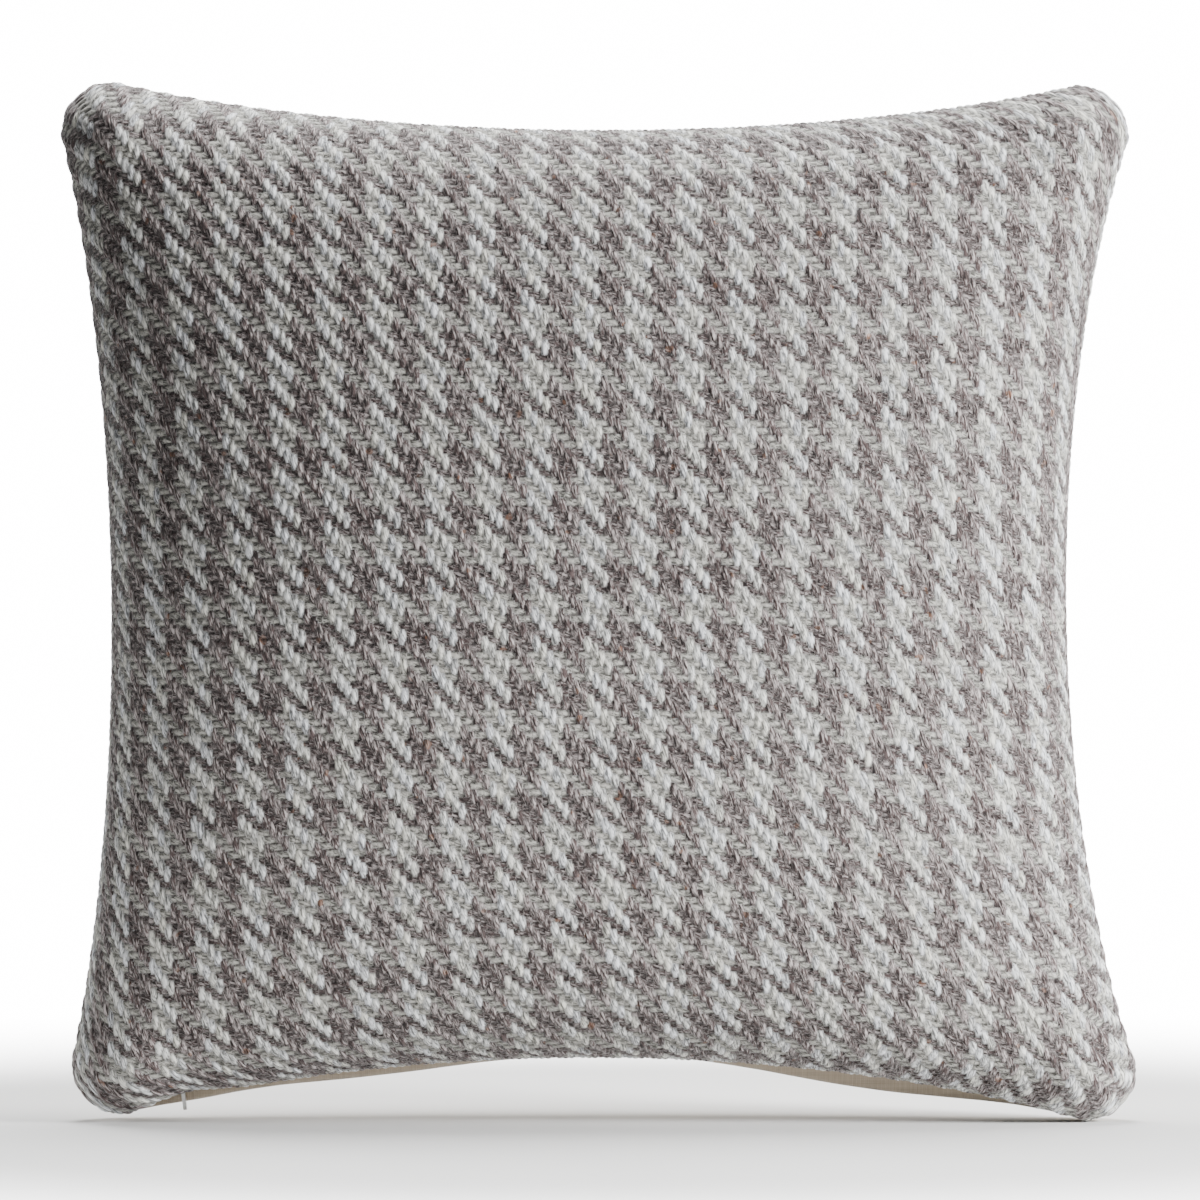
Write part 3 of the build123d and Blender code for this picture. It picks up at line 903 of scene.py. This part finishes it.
class CUSHION_OT_trim(bpy.types.Operator):
    """Gives the zip, the threads, the label and the inner pad their finishes"""

    bl_idname = "cushion.trim"
    bl_label = "Zip, threads and pad"

    def execute(self, context):
        thread, overlock = sewing_threads()
        # Satin ribbon: its long floats run along Z and shine softly
        ribbon = spun_finish("satin_label_ribbon", "dcdcd8", "f0f0ec", 0.5, (1, 1, 0.1), 0.35, 0.03, IOR=1.55)
        # Woven polyester tape: dull, with cross ribs
        tape = spun_finish("woven_polyester_zip_tape", "8f8578", "b3a999", 0.5, (1, 4, 1), 0.75, 0.12, IOR=1.55)
        # Wound nylon: a waxy shine broken by its turns along X
        coil = spun_finish("nylon_zip_coil", "9a8f80", "b8ad9d", 0.9, (3, 0.3, 1), 0.4, 0.2, IOR=1.53)
        # Zinc, die cast and nickel plated: bright, slightly orange-peeled
        metal = spun_finish("nickel_plated_zinc", "b4b4b2", "d2d2d0", 0.7, (1, 1, 1), 0.3, 0.02, Metallic=1.0)
        # Spunbond polypropylene: a bonded fleece of loose white fibres
        casing = spun_finish("spunbond_polypropylene", "dedede", "f2f2f0", 1.6, (1, 1, 1), 0.7, 0.15, IOR=1.49)
        # Hollow polyester fibre: white, soft and springy
        fibre = spun_finish("hollow_polyester_fibre", "e4e4e2", "fafaf8", 2.5, (1, 1, 0.4), 0.8, 0.4, IOR=1.55)
        metal_nodes = (
            "zip_top_stops",
            "zip_bottom_stop",
            "slider_body",
            "slider_cap",
            "slider_lock_spring",
            "zip_pull",
        )
        finishes = {
            thread: ("zip_stitch_front", "zip_stitch_back", "zip_bar_tacks"),
            overlock: ("pad_seam_thread", "pad_closing_stitch"),
            ribbon: ("care_label",),
            tape: ("zip_tape_front", "zip_tape_back"),
            coil: ("zip_coil_front", "zip_coil_back"),
            metal: metal_nodes,
            casing: ("pad_casing_front", "pad_casing_back"),
            fibre: ("pad_filling",),
        }
        for material, names in finishes.items():
            for name in names:
                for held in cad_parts[name].material_slots:
                    held.material = material
        return {"FINISHED"}


def paper_floor():
    """A round floor, as rings of points about the cushion."""
    radius, rings, spokes = 1.8, 13, 65
    turn = np.linspace(0, 2 * np.pi, spokes)
    away = np.linspace(0.0, radius, rings)[:, None]
    points = np.stack([away * np.cos(turn), away * np.sin(turn), 0 * away * turn], -1).reshape(-1, 3)
    mesh = bpy.data.meshes.new("studio_floor")
    mesh.from_pydata(points, [], quads(rings, spokes, flip=True).tolist())
    floor = bpy.data.objects.new("studio_floor", mesh)
    bpy.context.scene.collection.objects.link(floor)
    mesh.materials.append(seamless_paper())


def seamless_paper():
    """Matt white paper, faintly mottled, that fades into the surround so that no horizon shows."""
    paper, tree, surface = new_material("seamless_paper")
    surface.inputs["Roughness"].default_value = 0.9
    place = node(tree, "ShaderNodeTexCoord").outputs["Object"]
    grain = node(tree, "ShaderNodeTexNoise", {"Vector": place, "Scale": 3.0}).outputs["Fac"]
    tone = {0: grain, 6: linear("f3f3f2"), 7: linear("f9f9f8")}
    tone = node(tree, "ShaderNodeMix", tone, data_type="RGBA").outputs[2]
    tree.links.new(tone, surface.inputs["Base Color"])
    far = node(tree, "ShaderNodeVectorMath", {0: place}, operation="LENGTH").outputs["Value"]
    fade = {0: far, 1: 0.3, 2: 0.85}
    fade = node(tree, "ShaderNodeMapRange", fade, interpolation_type="SMOOTHSTEP").outputs[0]
    clear = node(tree, "ShaderNodeBsdfTransparent").outputs["BSDF"]
    faded = node(tree, "ShaderNodeMixShader", {0: fade, 1: surface.outputs["BSDF"], 2: clear}).outputs[0]
    tree.links.new(faded, tree.nodes["Material Output"].inputs["Surface"])
    return paper


def white_surround(backdrop, sky):
    """A world that is white to look at, and dim as a light."""
    world = bpy.data.worlds.new("studio_surround")
    bpy.context.scene.world = world
    world.use_nodes = True
    tree = world.node_tree
    background = tree.nodes["Background"]
    background.inputs[0].default_value = (1, 1, 1, 1)
    seen = node(tree, "ShaderNodeLightPath").outputs["Is Camera Ray"]
    strength = node(tree, "ShaderNodeMapRange", {0: seen, 3: sky, 4: backdrop}).outputs[0]
    tree.links.new(strength, background.inputs[1])


def lamp(name, place, size, power):
    """A round soft light, turned to the cushion's middle."""
    middle = Vector((0.0, 0.0, 0.2))
    data = bpy.data.lights.new(name, "AREA")
    data.shape = "DISK"
    data.size, data.energy = size, power
    made = bpy.data.objects.new(name, data)
    made.location = place
    made.rotation_euler = (middle - Vector(place)).to_track_quat("-Z", "Y").to_euler()
    bpy.context.scene.collection.objects.link(made)


class CUSHION_OT_stage(bpy.types.Operator):
    """Sets the pale floor, the white surround, the lights and the camera"""

    bl_idname = "cushion.stage"
    bl_label = "Studio"

    def execute(self, context):
        scene = context.scene
        light = scene.cushion_light
        paper_floor()
        white_surround(light.backdrop, light.sky)
        lamp("key_light", (1.15, -0.6, 0.5), 0.5, light.key)
        lamp("fill_light", (-1.3, -1.4, 0.9), 1.0, light.fill)
        lamp("top_light", (0.0, 0.25, 1.5), 0.9, light.top)
        lamp("rear_light", (-0.9, 1.2, 0.9), 0.8, light.rear)
        # The camera looks level at the cushion's middle, and sees a square of this side there
        distance, view = 3.0, 0.487
        data = bpy.data.cameras.new("camera")
        data.sensor_width = 36
        data.lens = data.sensor_width * distance / view
        data.clip_end = 20
        camera = bpy.data.objects.new("camera", data)
        camera.location = (0.0006, -distance, 0.2115)
        camera.rotation_euler = (math.pi / 2, 0, 0)
        scene.collection.objects.link(camera)
        scene.camera = camera
        return {"FINISHED"}


class CUSHION_PT_panel(bpy.types.Panel):
    """Lists the cushion's pieces and settings"""

    bl_label = "Cushion"
    bl_idname = "CUSHION_PT_panel"
    bl_space_type = "VIEW_3D"
    bl_region_type = "UI"
    bl_category = "Cushion"

    def draw(self, context):
        scene = context.scene
        for group in (scene.cushion_cover, scene.cushion_weave, scene.cushion_back, scene.cushion_light):
            box = self.layout.box()
            for key in group.__annotations__:
                box.prop(group, key)
        for operator in OPERATORS:
            self.layout.operator(operator.bl_idname)


GROUPS = {
    "cushion_cover": CoverShape,
    "cushion_weave": WeaveShape,
    "cushion_back": BackCloth,
    "cushion_light": StudioLight,
}
OPERATORS = (CUSHION_OT_front, CUSHION_OT_back, CUSHION_OT_seams, CUSHION_OT_trim, CUSHION_OT_stage)
CLASSES = (*GROUPS.values(), *OPERATORS, CUSHION_PT_panel)


def register():
    for made in CLASSES:
        bpy.utils.register_class(made)
    for name, group in GROUPS.items():
        setattr(bpy.types.Scene, name, bpy.props.PointerProperty(type=group))


def unregister():
    for name in GROUPS:
        delattr(bpy.types.Scene, name)
    for made in reversed(CLASSES):
        bpy.utils.unregister_class(made)


def main():
    register()
    bpy.ops.cushion.front()
    bpy.ops.cushion.back()
    bpy.ops.cushion.seams()
    bpy.ops.cushion.trim()
    bpy.ops.cushion.stage()
    bpy.context.view_layer.update()


if __name__ == "__main__":
    main()
